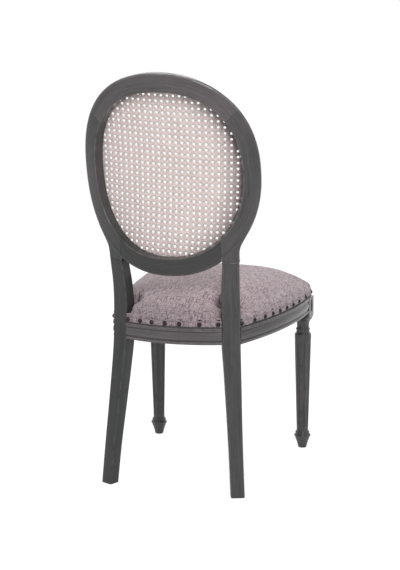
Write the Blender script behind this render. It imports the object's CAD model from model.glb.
# %% [markdown]
# # A caned dining chair
# This lesson dresses a chair that was built in CAD: an oval back with woven cane, a stuffed
# seat nailed down in linen, swept rear legs and turned, fluted front legs. The CAD model comes
# in first and is never moved. Each cell then makes one piece at its real size, in metres,
# exactly where the CAD piece stands.

import math

import bmesh
import bpy
import numpy as np
from mathutils import Matrix, Vector, noise


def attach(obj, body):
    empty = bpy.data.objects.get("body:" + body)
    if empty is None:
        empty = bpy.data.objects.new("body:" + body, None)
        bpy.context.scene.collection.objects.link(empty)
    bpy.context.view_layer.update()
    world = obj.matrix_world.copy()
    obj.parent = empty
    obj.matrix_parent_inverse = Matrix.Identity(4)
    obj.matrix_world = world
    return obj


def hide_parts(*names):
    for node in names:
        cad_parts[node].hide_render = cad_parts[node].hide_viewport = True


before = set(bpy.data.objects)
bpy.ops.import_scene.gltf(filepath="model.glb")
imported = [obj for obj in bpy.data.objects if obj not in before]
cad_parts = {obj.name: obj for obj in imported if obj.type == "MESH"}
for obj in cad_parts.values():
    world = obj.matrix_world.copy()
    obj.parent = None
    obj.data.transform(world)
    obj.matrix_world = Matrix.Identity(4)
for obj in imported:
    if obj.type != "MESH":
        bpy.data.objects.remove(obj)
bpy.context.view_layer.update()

# %% [markdown]
# ## The camera
# The photograph was taken from behind, from the sitter's right and a little above. The camera
# comes first, because every later comparison needs it. Its place was worked out from the
# chair's own proportions. A small shift moves the picture without turning the camera, and a
# small roll takes up the tilt of the photograph.

# %% Camera behind the chair
def aim(azimuth, elevation, roll):
    """How a camera turns: round the chair, up over it, and about its own view, in degrees."""
    a, e, r = (math.radians(v) for v in (azimuth, elevation, roll))
    back = Vector((math.sin(a) * math.cos(e), -math.cos(a) * math.cos(e), math.sin(e)))
    right = (-back).cross(Vector((0, 0, 1))).normalized()
    up = back.cross(right)
    tilted = right * math.cos(r) + up * math.sin(r), up * math.cos(r) - right * math.sin(r), back
    return Matrix(tilted).transposed().to_4x4()


PHOTO_SIDE = 570
camera = bpy.data.objects.new("camera", bpy.data.cameras.new("camera"))
bpy.context.scene.collection.objects.link(camera)
camera.data.sensor_width, camera.data.lens = 36, 71.64
camera.data.shift_x, camera.data.shift_y = -3.485 / PHOTO_SIDE, 0.511 / PHOTO_SIDE
camera.matrix_world = Matrix.Translation((-0.96436, 2.61884, 0.91387)) @ aim(199.911, 9.106, -0.475)
bpy.context.scene.camera = camera
bpy.context.scene.view_settings.view_transform = "Standard"
print("camera at", [round(v, 3) for v in camera.location])

# %% [markdown]
# ## Working space
# A chair maker measures in millimetres from a line on the floor under the front legs. The
# helpers below keep those numbers and turn them into the shared frame in metres at the last
# moment. `skin` lays a net of faces over rings of points, as a boat builder planks a hull. It
# also stores two things that the finishes need: a map that runs along the timber, for the
# grain, and how near each point is to an edge, for the wear.

# %% Units, arcs and the raked frame
MM = 0.001
MID_Y = 41.276
RAKE = math.radians(2)
FRAME_Z = 364.0


def mix(a, b, k):
    return a + (b - a) * k


def arc(centre, r, a0, a1, n):
    """n + 1 places on a circle, from one angle to another."""
    turns = [math.radians(mix(a0, a1, i / n)) for i in range(n + 1)]
    return [(centre[0] + r * math.cos(a), centre[1] + r * math.sin(a)) for a in turns]


def raked(points):
    """Points of the seat frame's own space, whose floor is the frame's lower edge."""
    p = np.asarray(points, float)
    return np.stack([p[..., 0], p[..., 1] * math.cos(RAKE) + p[..., 2] * math.sin(RAKE),
                     FRAME_Z - p[..., 1] * math.sin(RAKE) + p[..., 2] * math.cos(RAKE)], -1)


def in_frame(points):
    """Working millimetres to metres in the shared frame."""
    return (np.asarray(points, float) - [0, MID_Y, 0]) * MM

print("the working origin lies at", in_frame((0, 0, 0)), "m")

# %% Marks and measures
def mark(mesh, name, values):
    """A number, or a direction, stored on every point."""
    flat = np.ndim(values) < 2
    layer = mesh.attributes.new(name, "FLOAT" if flat else "FLOAT_VECTOR", "POINT").data
    layer.foreach_set("value" if flat else "vector", np.asarray(values, float).ravel())


def dots(name, places, **marks):
    """A mesh of bare points with their marks, for a rule to put things on."""
    mesh = bpy.data.meshes.new(name)
    mesh.from_pydata(np.asarray(places).tolist(), [], [])
    for key, values in marks.items():
        mark(mesh, key, values)
    return mesh


def points_of_mesh(mesh):
    co = np.empty(len(mesh.vertices) * 3)
    mesh.vertices.foreach_get("co", co)
    return co.reshape(-1, 3)


def corners_of(mesh):
    """The point that each corner of each face stands on."""
    corner = np.empty(len(mesh.loops), int)
    mesh.loops.foreach_get("vertex_index", corner)
    return corner


def unit(ways):
    """The same directions, each of length one; where there is none, it stays none."""
    return ways / np.maximum(np.linalg.norm(ways, axis=1), 1e-6)[:, None]


def volume(mesh):
    """Litres inside; below zero where the faces point inwards."""
    made = bmesh.new()
    made.from_mesh(mesh)
    litres = made.calc_volume(signed=True) * 1000
    made.free()
    return litres

print("3 across and 4 up points along", unit(np.array([[3.0, 4.0]]))[0])

# %% Skins over rings
def keep(name, mesh, finish):
    piece = bpy.data.objects.new(name, mesh)
    bpy.context.scene.collection.objects.link(piece)
    if finish is not None:
        mesh.materials.append(finish)
    return piece


def shade(mesh, angle=38):
    """Smooth shading, but for edges that turn by more than the angle."""
    mesh.polygons.foreach_set("use_smooth", [True] * len(mesh.polygons))
    mesh.set_sharp_from_angle(angle=math.radians(angle))


def skin(name, rings, finish, closed=False, edge=None, sharp=38):
    """A closed mesh over rings of points. edge says how much each place of a ring is rubbed."""
    rings = np.asarray(rings, float)
    m, n = rings.shape[:2]
    points = in_frame(rings.reshape(-1, 3))
    rows = range(m if closed else m - 1)
    faces = [(j * n + i, j * n + (i + 1) % n, (j + 1) % m * n + (i + 1) % n, (j + 1) % m * n + i)
             for j in rows for i in range(n)]
    if not closed:
        faces += [tuple(range(n - 1, -1, -1)), tuple((m - 1) * n + i for i in range(n))]
    mesh = bpy.data.meshes.new(name)
    mesh.from_pydata(points.tolist(), [], faces)
    length = np.concatenate([[0], np.cumsum(np.linalg.norm(np.diff(rings.mean(1), axis=0), axis=1))])
    length = np.append(length, length[-1] + np.linalg.norm(rings[-1].mean(0) - rings[0].mean(0)))
    loop = np.concatenate([rings[m // 2], rings[m // 2][:1]])
    girth = np.concatenate([[0], np.cumsum(np.linalg.norm(np.diff(loop, axis=0), axis=1))])
    grain = mesh.uv_layers.new(name="grain")
    at = 0
    for f in faces:
        js, ks = [v // n for v in f], [v % n for v in f]
        for j, k in zip(js, ks):
            u = length[m] if j == 0 and m - 1 in js and closed else length[j]
            v = girth[n] if k == 0 and n - 1 in ks and len(f) == 4 else girth[k]
            grain.data[at].uv = (u * MM, v * MM)
            at += 1
    if edge is not None:
        mark(mesh, "wear", np.tile(edge, m))
    if volume(mesh) < 0:
        mesh.flip_normals()
    shade(mesh, sharp)
    return keep(name, mesh, finish)


def ease(rings, by=0.5):
    """Both ends of a loft rounded over a little, which leaves a fine joint line."""
    rings = [np.asarray(r, float) for r in rings]
    for _ in range(2):
        ring, inner = rings[0], rings[1]
        way = inner.mean(0) - ring.mean(0)
        way /= np.linalg.norm(way)
        out = ring - ring.mean(0)
        out -= np.outer(out @ way, way)
        small = ring - out / np.linalg.norm(out, axis=1)[:, None] * by
        rings = ([small, ring + way * by] + rings[1:])[::-1]
    return rings

print("working space ready")

# %% [markdown]
# ## Writing finishes as sums
# A finish is a small tree of nodes. To keep it readable, one class wraps a socket, so that
# `0.4 + 0.2 * grain` adds the Math nodes by itself, and one method adds every other kind of
# node: its settings first, then its sockets. Geometry trees use the same two. The colour of
# a finish comes from `coats`: a ground, and over it each coat with how much of it shows.

# %% Wire
class Wire:
    """An output socket that can stand in a sum."""

    def __init__(self, recipe, socket):
        self.recipe, self.socket = recipe, socket

    def sum(self, operation, *others, first=(), clamp=False):
        return self.recipe.add("ShaderNodeMath", {"operation": operation, "use_clamp": clamp},
                               dict(enumerate((*first, self, *others))))

    def __pow__(self, other): return self.sum("POWER", other)
    def __neg__(self): return self.sum("MULTIPLY", -1.0)
    def sine(self): return self.sum("SINE")
    def cosine(self): return self.sum("COSINE")
    def root(self): return self.sum("SQRT")
    def size(self): return self.sum("ABSOLUTE")
    def most(self, other): return self.sum("MAXIMUM", other)
    def clamped(self): return self.sum("ADD", 0.0, clamp=True)
    def step(self, low, high): return (self - low).sum("MULTIPLY", 1 / (high - low), clamp=True)


for sign, operation in (("add", "ADD"), ("sub", "SUBTRACT"), ("mul", "MULTIPLY"),
                        ("truediv", "DIVIDE")):
    setattr(Wire, f"__{sign}__", lambda self, other, way=operation: self.sum(way, other))
    setattr(Wire, f"__r{sign}__", lambda self, other, way=operation: self.sum(way, first=(other,)))

print("a wire can", *[name for name in vars(Wire) if name[0] != "_"])

# %% Recipe
class Recipe:
    """A node tree that is being written."""

    def __init__(self, tree):
        self.tree = tree

    def add(self, kind, settings=None, sockets=None, out=0):
        made = self.tree.nodes.new(kind)
        for key, value in (settings or {}).items():
            setattr(made, key, value)
        for key, value in (sockets or {}).items():
            if isinstance(value, Wire):
                self.tree.links.new(value.socket, made.inputs[key])
            else:
                made.inputs[key].default_value = value
        return Wire(self, made.outputs[out])

    def vector(self, x, y, z=0.0):
        return self.add("ShaderNodeCombineXYZ", sockets={0: x, 1: y, 2: z})

    def parts(self, vector):
        first = self.add("ShaderNodeSeparateXYZ", sockets={0: vector})
        return [Wire(self, s) for s in first.socket.node.outputs]

    def room(self):
        """Place in the object's own space, in metres."""
        return self.add("ShaderNodeTexCoord", out=3)

    def marked(self, name):
        """A number that each point carries."""
        return self.add("ShaderNodeAttribute", {"attribute_name": name}, out=2)

    def noise(self, vector, scale, detail=3.0, roughness=0.55):
        return self.add("ShaderNodeTexNoise", sockets={
            "Vector": vector, "Scale": scale, "Detail": detail, "Roughness": roughness})

    def streaks(self, x, y, z=0.0, detail=3.0, roughness=0.55):
        return self.noise(self.vector(x, y, z), 1.0, detail, roughness)

    def blend(self, factor, a, b):
        return self.add("ShaderNodeMix", {"data_type": "RGBA"}, {0: factor, 6: a, 7: b}, out=2)

    def coats(self, tone, *coats):
        """A ground colour with coats over it: how much of each, and its colour."""
        tone = rgb(*tone)
        for share, colour in coats:
            tone = self.blend(share, tone, rgb(*colour))
        return tone

print("a recipe can", *[name for name in vars(Recipe) if name[0] != "_"])

# %% Colours and materials
def rgb(r, g, b):
    """A colour as a picture editor shows it, 0 to 255, as the light that Blender counts."""
    return tuple((v / 255 / 12.92 if v <= 10.3 else ((v / 255 + 0.055) / 1.055) ** 2.4)
                 for v in (r, g, b)) + (1.0,)


def finish(name, write, **constants):
    """A material: write() returns what varies, constants go on the shader's own sockets."""
    made = bpy.data.materials.new(name)
    made.use_nodes = True
    shader = made.node_tree.nodes["Principled BSDF"]
    recipe = Recipe(made.node_tree)
    for key, value in constants.items():
        shader.inputs[key.replace("_", " ")].default_value = value
    for key, value in write(recipe).items():
        if key == "Height":
            bump = recipe.add("ShaderNodeBump", sockets={
                "Height": value[0], "Strength": value[1], "Distance": value[2]})
            made.node_tree.links.new(bump.socket, shader.inputs["Normal"])
        elif isinstance(value, Wire):
            made.node_tree.links.new(value.socket, shader.inputs[key])
    print("finish", name, len(made.node_tree.nodes), "nodes")
    return made

print("the grey 128 of a picture is", round(rgb(128, 128, 128)[0], 3), "of the light")

# %% [markdown]
# ## Charcoal wood
# The frame is stained almost black under a satin lacquer, so that long streaks of grain still
# show through and beads and edges catch the light. The grain must run along each bent piece,
# and for that the streaks are read from the `grain` map and not from the room. Where hands
# and cloths rub, on the edges that `wear` marks, the stain is thinner and paler. Where `wear`
# is below zero, in the quirks beside a bead, stain gathers and dries darker. Every board
# takes stain in its own way: `board` makes it paler and mauve, or darker.

# %% Charcoal wood and bare beech
def charcoal(r):
    u, v, _ = r.parts(r.add("ShaderNodeUVMap", {"uv_map": "grain"}))
    room, rub, board = r.room(), r.marked("wear"), r.marked("board")
    drift, patchy = r.noise(room, 9.0, 2.0), r.noise(room, 60.0, 4.0)
    figure = r.streaks(u * 7.0, v * 150.0 + drift * 2.2, 0.0, 5.0, 0.6)
    pores = r.streaks(u * 34.0, v * 1250.0 + drift * 3.0, 0.0, 2.0, 0.5).step(0.56, 0.7)
    rubbed = (rub.most(0.0) * patchy.step(0.3, 0.62)).clamped()
    tone = r.coats((50, 52, 51), (figure.step(0.3, 0.72), (72, 73, 72)),
                   (drift.step(0.42, 0.72) * 0.5, (80, 73, 76)),
                   (board.most(0.0) * (0.4 + 0.6 * figure.step(0.25, 0.7)), (116, 107, 110)),
                   ((-board).most(0.0), (30, 32, 31)), (pores * 0.5, (34, 34, 34)),
                   (rubbed * 0.5, (122, 113, 115)), ((-rub).most(0.0) * 0.7, (20, 21, 21)))
    return {"Base Color": tone, "Roughness": 0.24 + 0.16 * figure + 0.1 * pores - 0.06 * rubbed,
            "Height": (figure * 0.35 - pores * 0.5 + patchy * 0.15, 0.3, 0.0003)}


def beech(r):
    room = r.room()
    x, y, z = r.parts(room)
    warp = r.noise(room, 14.0, 2.0)
    rings = r.streaks(x * 30.0 + warp, y * 30.0 + warp, z * 260.0 + warp * 3.0, 4.0)
    flecks = r.streaks(x * 240.0, y * 240.0, z * 1500.0, 1.0).step(0.6, 0.72)
    tone = r.coats((203, 172, 134), (rings.step(0.3, 0.7), (178, 143, 104)),
                   (flecks * 0.6, (142, 104, 72)))
    return {"Base Color": tone, "Roughness": 0.62 + 0.12 * rings,
            "Height": (rings - flecks * 0.5, 0.25, 0.0002)}


frame_wood = finish("charcoal_wood", charcoal, Specular_IOR_Level=0.05, Coat_Weight=0.6,
                    Coat_Roughness=0.08)
inner_wood = finish("bare_beech", beech)

# %% [markdown]
# ## Cane and linen
# Rattan cane has a glassy bark side with fine lines along it. Here it was whitewashed, so it
# is a warm white, and every strand took the wash a little differently: `strand` is a number
# that each strand of the weave carries. The linen is woven from uneven yarn. Thick places in
# the yarn, slubs, make short streaks along both directions of the cloth, and they are what
# one sees of linen from across a room. Its map `cloth` lies flat over the cushion.

# %% Cane, linen, webbing and dust cloth
def whitewash(r):
    room = r.room()
    mottle, fibre = r.noise(room, 90.0, 3.0), r.noise(room, 900.0, 2.0)
    tone = r.coats((243, 229, 225), (r.marked("strand"), (214, 197, 194)),
                   (mottle.step(0.45, 0.75) * 0.35, (208, 188, 183)),
                   (fibre.step(0.5, 0.8) * 0.25, (186, 166, 161)),
                   (r.marked("shade") * (0.5 + 0.6 * mottle), (92, 75, 79)))
    return {"Base Color": tone, "Roughness": 0.42 + 0.25 * mottle,
            "Height": (fibre + mottle, 0.2, 0.0002)}


WARP_GAP, WEFT_GAP = 0.00125, 0.00140


def slub_linen(r):
    u, v, _ = r.parts(r.add("ShaderNodeUVMap", {"uv_map": "cloth"}))
    wander = r.streaks(u * 25.0, v * 25.0, 0.0, 2.0)
    warp = (u * (2 * math.pi / WARP_GAP) + wander * 5.0).sine()
    weft = (v * (2 * math.pi / WEFT_GAP) + wander * 4.0).sine()
    weave = warp * weft * 0.5 + 0.5
    yarn_u = r.streaks(u * 560.0 + wander * 1.5, v * 56.0, 0.0, 1.5, 0.4)
    yarn_v = r.streaks(u * 66.0, v * 520.0 + wander * 1.5, 0.0, 1.5, 0.4)
    thick_u, thick_v = yarn_u.step(0.5, 0.66), yarn_v.step(0.5, 0.66)
    thin = (1.0 - yarn_u.step(0.38, 0.46)).most(1.0 - yarn_v.step(0.36, 0.44))
    heather = r.noise(r.room(), 300.0, 3.0, 0.7)
    tone = r.coats((154, 139, 143), (heather.step(0.35, 0.65), (176, 160, 162)),
                   (thick_u * 0.55, (190, 174, 175)), (thick_v * 0.55, (184, 168, 171)),
                   (thin * (0.45 + 0.7 * weave), (94, 81, 89)), ((1.0 - weave) * 0.3, (104, 90, 98)),
                   (r.marked("fold") * 0.45, (92, 80, 88)))
    return {"Base Color": tone, "Roughness": 0.82 + 0.12 * heather,
            "Height": (weave * 0.6 + thick_u * 0.5 + thick_v * 0.5 - thin * 0.3, 0.6, 0.0005)}


def jute(r):
    room = r.room()
    x, y, _ = r.parts(room)
    ribs = ((x * 2600.0).sine() * (y * 2600.0).sine()) * 0.5 + 0.5
    hairy = r.noise(room, 700.0)
    return {"Base Color": r.coats((128, 104, 72), (ribs * 0.7 + hairy * 0.3, (186, 160, 118))),
            "Roughness": 0.8 + 0.15 * hairy, "Height": (ribs, 0.5, 0.0006)}


def black_cloth(r):
    room = r.room()
    x, y, _ = r.parts(room)
    dimples = ((x * 1700.0).sine() * (y * 1700.0).sine()).step(0.2, 0.9)
    felt = r.noise(room, 500.0, 4.0)
    tone = r.coats((36, 35, 37), (felt.step(0.3, 0.7), (58, 56, 58)), (dimples * 0.5, (22, 22, 23)))
    return {"Base Color": tone,
            "Roughness": 0.86 + 0.1 * felt, "Height": (felt * 0.3 - dimples, 0.5, 0.0004)}


cane_finish = finish("whitewashed_cane", whitewash, Specular_IOR_Level=0.4)
linen = finish("slub_linen", slub_linen, Sheen_Weight=0.25, Sheen_Roughness=0.5,
               Specular_IOR_Level=0.25)
jute_web = finish("jute_webbing", jute, Specular_IOR_Level=0.2)
dust_cloth = finish("black_dust_cloth", black_cloth, Specular_IOR_Level=0.25)

# %% [markdown]
# ## Metals
# The nails are steel domes with a baked, antiqued bronze: dark in the hollows, a little
# brighter where the dome was brushed. The screws inside the frame are zinc plated.

# %% Bronze nails and zinc screws
def old_bronze(r):
    room = r.room()
    blotch = r.noise(room, 420.0, 4.0, 0.65)
    speck = r.noise(room, 1900.0, 2.0).step(0.55, 0.7)
    tone = r.coats((36, 30, 32), (blotch.step(0.45, 0.8), (88, 76, 74)), (speck * 0.5, (28, 24, 26)))
    return {"Base Color": tone, "Metallic": 0.75 + 0.2 * blotch, "Roughness": 0.16 + 0.22 * blotch,
            "Height": (blotch - speck * 0.4, 0.25, 0.0002)}


def zinc(r):
    spangle = r.noise(r.room(), 800.0, 3.0)
    return {"Base Color": r.coats((172, 174, 178), (spangle, (214, 214, 212))),
            "Roughness": 0.28 + 0.3 * spangle, "Height": (spangle, 0.15, 0.0001)}


bronze = finish("antique_bronze", old_bronze, Specular_IOR_Level=0.5)
zinc_steel = finish("zinc_plate", zinc, Metallic=1.0)

# %% [markdown]
# ## The oval back
# The back is one oval hoop on a board that was bent a little round the sitter. It is made of
# four pieces: a crest rail, two stiles that run on into the rear legs, and a lower rail.
# Every piece is the same moulding led along the oval: a rounded back edge, a deep wall down
# to the cane, a groove for the spline, and two beads with a hollow between them in front.
# `on_sheet` bends a flat place, so far across and so far up, onto the leaning curve.

# %% The bent sheet and the oval
BACK_Y, LEAN = 278.0, math.radians(10.2)
BOW, BAND_T, WALL = 378.0, 27.5, 24.0
OVAL_A, OVAL_B = 219.0, 235.0
BAND_SIDE, BAND_TOP, POWER = 36.7, 42.0, 2.25
OVAL_Z = 984.0 - OVAL_B * math.cos(LEAN) - (BAND_T - 4.5) * math.sin(LEAN)
BAND_W = (BAND_SIDE + BAND_TOP) / 2


def on_sheet(s, t, v):
    s, t, v = (np.asarray(x, float) for x in (s, t, v))
    r = BOW - v
    d = r * np.sqrt(1 - (s / BOW) ** 2) - BOW
    return np.stack([r * s / BOW, BACK_Y + t * math.sin(LEAN) + d * math.cos(LEAN),
                     OVAL_Z + t * math.cos(LEAN) - d * math.sin(LEAN)], -1)


def oval(angle, k):
    """Place on the oval: k is 0 on the outer edge of the band and 1 at the opening."""
    c, s = np.cos(np.radians(angle)), np.sin(np.radians(angle))
    e = 2 / POWER
    return ((OVAL_A - BAND_SIDE * k) * np.sign(c) * np.abs(c) ** e,
            (OVAL_B - BAND_TOP * k) * np.sign(s) * np.abs(s) ** e)

print("oval", 2 * OVAL_A, "by", 2 * OVAL_B, "mm, its middle", round(OVAL_Z, 1), "mm up")

# %% The moulding
def moulding():
    """Section of the band: k across it, v through it, and how much each point gets rubbed."""
    w, cove, bead = BAND_W, BAND_T - 2.5, 3.2
    bead_x = w - 7 - 4.5 - bead - 0.6
    runs = [(arc((6, 6), 6, 180, 270, 8), [0, 0.5, 0.9, 0.5, 0]),
            ([(mix(6, w - 2.5, i / 6), 0) for i in range(1, 6)], [0]),
            (arc((w - 2.5, 2.5), 2.5, 270, 360, 6), [0, 1, 1, 0]),
            ([(w, mix(3.5, WALL - 1, i / 4)) for i in range(5)] + [(w - 0.4, WALL)], [0.1]),
            ([(w - 6.8, WALL), (w - 7, WALL - 0.3), (w - 7, WALL - 6), (w - 11.5, WALL - 6),
              (w - 11.5, WALL + 0.5)], [0]),
            (arc((bead_x, BAND_T - bead), bead, 10, 165, 9), [0, 0.5, 1, 0.5, 0]),
            ([(bead_x - bead - 0.4, cove - 0.6), (bead_x - bead - 1.2, cove), (16, cove - 0.5),
              (13, cove - 0.3), (11.6, cove)], [0]),
            (arc((7.5, BAND_T - bead), bead, 20, 110, 6), [0, 0.6, 1, 0.5]),
            (arc((4.5, BAND_T - 4.5), 4.5, 120, 180, 5), [0.6, 0.9, 0.3]),
            ([(0, 18), (0, 13), (0, 9)], [0])]
    points, rub = [], []
    for run, amounts in runs:
        points += run
        rub += list(np.interp(np.linspace(0, 1, len(run)), np.linspace(0, 1, len(amounts)), amounts))
    return np.array(points) / [w, 1], rub


section, rubbed_at = moulding()


def band(first, last, n):
    """The moulding led along the oval; both ends may be angles or rules that depend on k."""
    angle = [mix(first(section[:, 0]), last(section[:, 0]), i / n) for i in range(n + 1)]
    return [on_sheet(*oval(a, section[:, 0]), section[:, 1]) for a in angle]

print("moulding of", len(section), "points")

# %% [markdown]
# The crest rail and the lower rail are that moulding between two joints. The crest's joints
# are cut straight across. The lower rail meets the stiles at an upright seam, so its end lies
# at another angle on the outer edge than at the opening, and a small rule of `k` says so.

# %% Crest rail and lower rail
CREST_JOINT, SEAM_X = 36.0, 126.0


def seam(k):
    """Where on the oval the upright seam between stile and lower rail lies, for each k."""
    return np.degrees(np.arccos((SEAM_X / (OVAL_A - BAND_SIDE * k)) ** (POWER / 2)))


def square_cut(angle):
    """A joint straight across the band: one angle, whatever k is."""
    return lambda k: np.full_like(k, angle)


def moulded(name, first, last, n, easing):
    """A piece of the band between two joints."""
    return skin(name, ease(band(first, last, n), easing), frame_wood, edge=rubbed_at)


crest = moulded("crest_rail_moulded", square_cut(180 - CREST_JOINT), square_cut(CREST_JOINT), 120, 0.35)
lower = moulded("lower_rail_moulded", lambda k: 360 - seam(k), lambda k: 180 + seam(k), 76, 0.9)
print("crest and lower rail, litres", volume(crest.data), volume(lower.data))

# %% [markdown]
# ## Stiles
# Each stile is the side of the oval, and below it a foot that leaves the oval in a long
# hollow curve and becomes the head of the rear leg. Two skins make it: the moulded band, and
# the foot, whose outer line is one smooth curve with four handles. The back faces lie flush,
# so that they read as one board, as they do on the chair.

# %% Stiles that run down into the legs
JOINT_T, LEG_IN, LEG_OUT, LEAVE = -206.0, SEAM_X + 0.2, 165.5, -30.0
HEAD_S = (LEG_IN + LEG_OUT) / 2
FOOT_T = BAND_T - 1


def foot_outer(k):
    """Outer line of the stile's foot on the flat sheet, from the oval down to the leg."""
    a, b = np.array(oval(LEAVE, 0)), np.array([LEG_OUT, JOINT_T])
    c, d = a + [-24, -44], b + [-1, 40]
    if k < 0:
        return np.array(oval(LEAVE - k * 16, 0.08))
    return (1 - k) ** 3 * a + 3 * k * (1 - k) ** 2 * c + 3 * k * k * (1 - k) * d + k ** 3 * b


def foot_inner(k):
    """Inner line: under the band at first, then straight down the seam."""
    end = oval(-seam(0.4), 0.4)
    if k < 0.4:
        return np.array(oval(mix(LEAVE + 8, -seam(0.4), (k + 0.3) / 0.7), 0.4))
    return np.array([LEG_IN, mix(end[1], JOINT_T, (k - 0.4) / 0.6)])


def foot_ring(k):
    a, b = foot_outer(k), foot_inner(k)
    w = np.linalg.norm(b - a)
    back = 0.05 if k < 0.9 else 0.05 * (1 - k) / 0.1
    front = mix(BAND_T - 2.9, FOOT_T, max(0, min(1, (k - 0.4) / 0.5)))
    ring = np.array(arc((6, 6 + back), 6, 180, 270, 7)
                    + arc((w - 1.6, back + 1.6), 1.6, 270, 360, 3)
                    + arc((w - 1.6, front - 1.6), 1.6, 0, 90, 3)
                    + arc((3, front - 3), 3, 90, 180, 5))
    place = a + (b - a) / w * ring[:, :1]
    return on_sheet(place[:, 0], place[:, 1], ring[:, 1])


foot_rub = [0, 0.3, 0.7, 0.9, 0.7, 0.3, 0.1, 0] + [0, 1, 1, 0] * 2 + [0, 0.8, 1, 0.8, 0.4, 0]

print("foot rings of", len(foot_rub), "points")

# %% Both stiles
def joined(name, parts):
    """Several pieces as one object."""
    bpy.ops.object.select_all(action="DESELECT")
    for part in parts:
        part.select_set(True)
    bpy.context.view_layer.objects.active = parts[0]
    bpy.ops.object.join()
    parts[0].name = parts[0].data.name = name
    return parts[0]


def mirrored(name, piece):
    """The same piece for the other side, its faces turned back outwards."""
    mesh = piece.data.copy()
    mesh.name = name
    mesh.transform(Matrix.Diagonal((-1, 1, 1, 1)))
    mesh.flip_normals()
    return keep(name, mesh, None)


side = moulded("side", square_cut(CREST_JOINT), lambda k: -seam(k), 90, 0.35)
foot = skin("foot", ease([foot_ring(k) for k in np.linspace(-0.2, 1, 61)], 0.35), frame_wood,
            edge=foot_rub)
left_stile = joined("left_stile_moulded", [side, foot])
right_stile = mirrored("right_stile_moulded", left_stile)
print("stile, litres", volume(left_stile.data))

# %% [markdown]
# ## Rear legs
# A rear leg is sawn from a thick board in one sweep: it leans back at the top, stands
# straight where the rails join, and kicks back at the floor. It is a rounded rectangle that
# changes its size and place with height. `flow` draws a smooth curve through a few measured
# stations, in the way a bent lath does. Between `JOINT_LOW` and `JOINT_HIGH` the two sides
# stay parallel for the rails.

# %% A smooth line through stations
def flow(stations, z):
    """Height z on a smooth curve through stations of (height, value)."""
    i = 0
    while i < len(stations) - 2 and z > stations[i + 1][0]:
        i += 1

    def slope(j):
        a, b = max(j - 1, 0), min(j + 1, len(stations) - 1)
        return (stations[b][1] - stations[a][1]) / (stations[b][0] - stations[a][0])

    h = stations[i + 1][0] - stations[i][0]
    t = (z - stations[i][0]) / h
    a, b = slope(i) * h, slope(i + 1) * h
    return ((2 * t ** 3 - 3 * t * t + 1) * stations[i][1] + (t ** 3 - 2 * t * t + t) * a
            + (3 * t * t - 2 * t ** 3) * stations[i + 1][1] + (t ** 3 - t * t) * b)

print("a quarter of the way from 0 to 1", flow([[0, 0], [1, 1]], 0.25))

# %% Stations of the rear leg
TURN = math.asin(HEAD_S / BOW)
head = on_sheet(HEAD_S, JOINT_T, 0)


def to_leg(p):
    """A place on the plan as seen by the leg, which is turned a little with the back."""
    return (p[0] * math.cos(TURN) - p[1] * math.sin(TURN),
            p[0] * math.sin(TURN) + p[1] * math.cos(TURN))


def from_leg(x, y):
    return (x * math.cos(TURN) + y * math.sin(TURN), y * math.cos(TURN) - x * math.sin(TURN))


leg_back = [[0, 287.6], [100, 276.3], [200, 262.3], [300, 249], [360, 243.3], [430, 240.6],
            [490, 243.3], [head[2], to_leg(head)[1]]]
leg_line = [[0, 63.6], [200, 57.9], [400, 52.7], [head[2], to_leg(head)[0]]]
leg_width = [[0, 33.4], [100, 34], [200, 37.3], [300, 41.7], [430, 45], [head[2], LEG_OUT - LEG_IN]]
leg_depth = [[0, 27], [200, 30], [360, 31], [head[2], FOOT_T]]
RAIL_MID = FRAME_Z + 40.5 / 2 - 205 * math.sin(RAKE)
JOINT_LOW, JOINT_HIGH, BEND = 350, 424, 525
levels = [0, 50, 100, 150, 200, 250, 300, JOINT_LOW, JOINT_HIGH, 460, 495, BEND, head[2]]
plain = [RAIL_MID if JOINT_LOW <= z <= JOINT_HIGH else z for z in levels]
line_at, width_at = ([[z, flow(of, p)] for z, p in zip(levels, plain)] for of in (leg_line, leg_width))

print("head of the leg at", head.round(1), "mm, turned by", round(math.degrees(TURN), 1), "degrees")

# %% Rear legs
def leg_ring(z):
    """Rounded rectangle at height z; the top of the leg is cut square to the leaning back."""
    c, n, w, d = flow(line_at, z), flow(leg_back, z), flow(width_at, z) / 2, flow(leg_depth, z)
    if JOINT_LOW < z < JOINT_HIGH:
        c, w = flow(leg_line, RAIL_MID), flow(leg_width, RAIL_MID) / 2
    ring = (arc((5 - w, -5), 5, 180, 90, 6) + arc((w - 5, -5), 5, 90, 0, 6)
            + arc((w - 2.5, 2.5 - d), 2.5, 0, -90, 4) + arc((2.5 - w, 2.5 - d), 2.5, 270, 180, 4))
    tilt = max(0.0, (z - BEND) / (head[2] - BEND)) * math.tan(LEAN)
    return [(*from_leg(c + x, n + y), z - tilt * from_leg(x, y)[1]) for x, y in ring]


leg_rub = [0, 0.2, 0.35, 0.4, 0.35, 0.2, 0] * 2 + [0, 0.3, 0.4, 0.3, 0] * 2
left_rear = skin("left_rear_leg_swept", ease([leg_ring(z) for z in np.linspace(0, head[2], 90)], 0.6),
                 frame_wood, edge=leg_rub)
right_rear = mirrored("right_rear_leg_swept", left_rear)
print("rear leg, litres", volume(left_rear.data))

# %% [markdown]
# ## Geometry Nodes for what follows a rule
# A turned leg with flutes, a moulded rail, a woven panel and a row of nails each follow a
# rule, so each is a small Geometry Nodes tree. `Rule` opens a tree with named inputs,
# and `grow` puts it on an object, sets its inputs, takes the result as a plain mesh and
# drops the modifier, because the finished model must not depend on it.

# %% Rule
SOCKETS = {float: "NodeSocketFloat", int: "NodeSocketInt", bpy.types.Object: "NodeSocketObject"}


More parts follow.
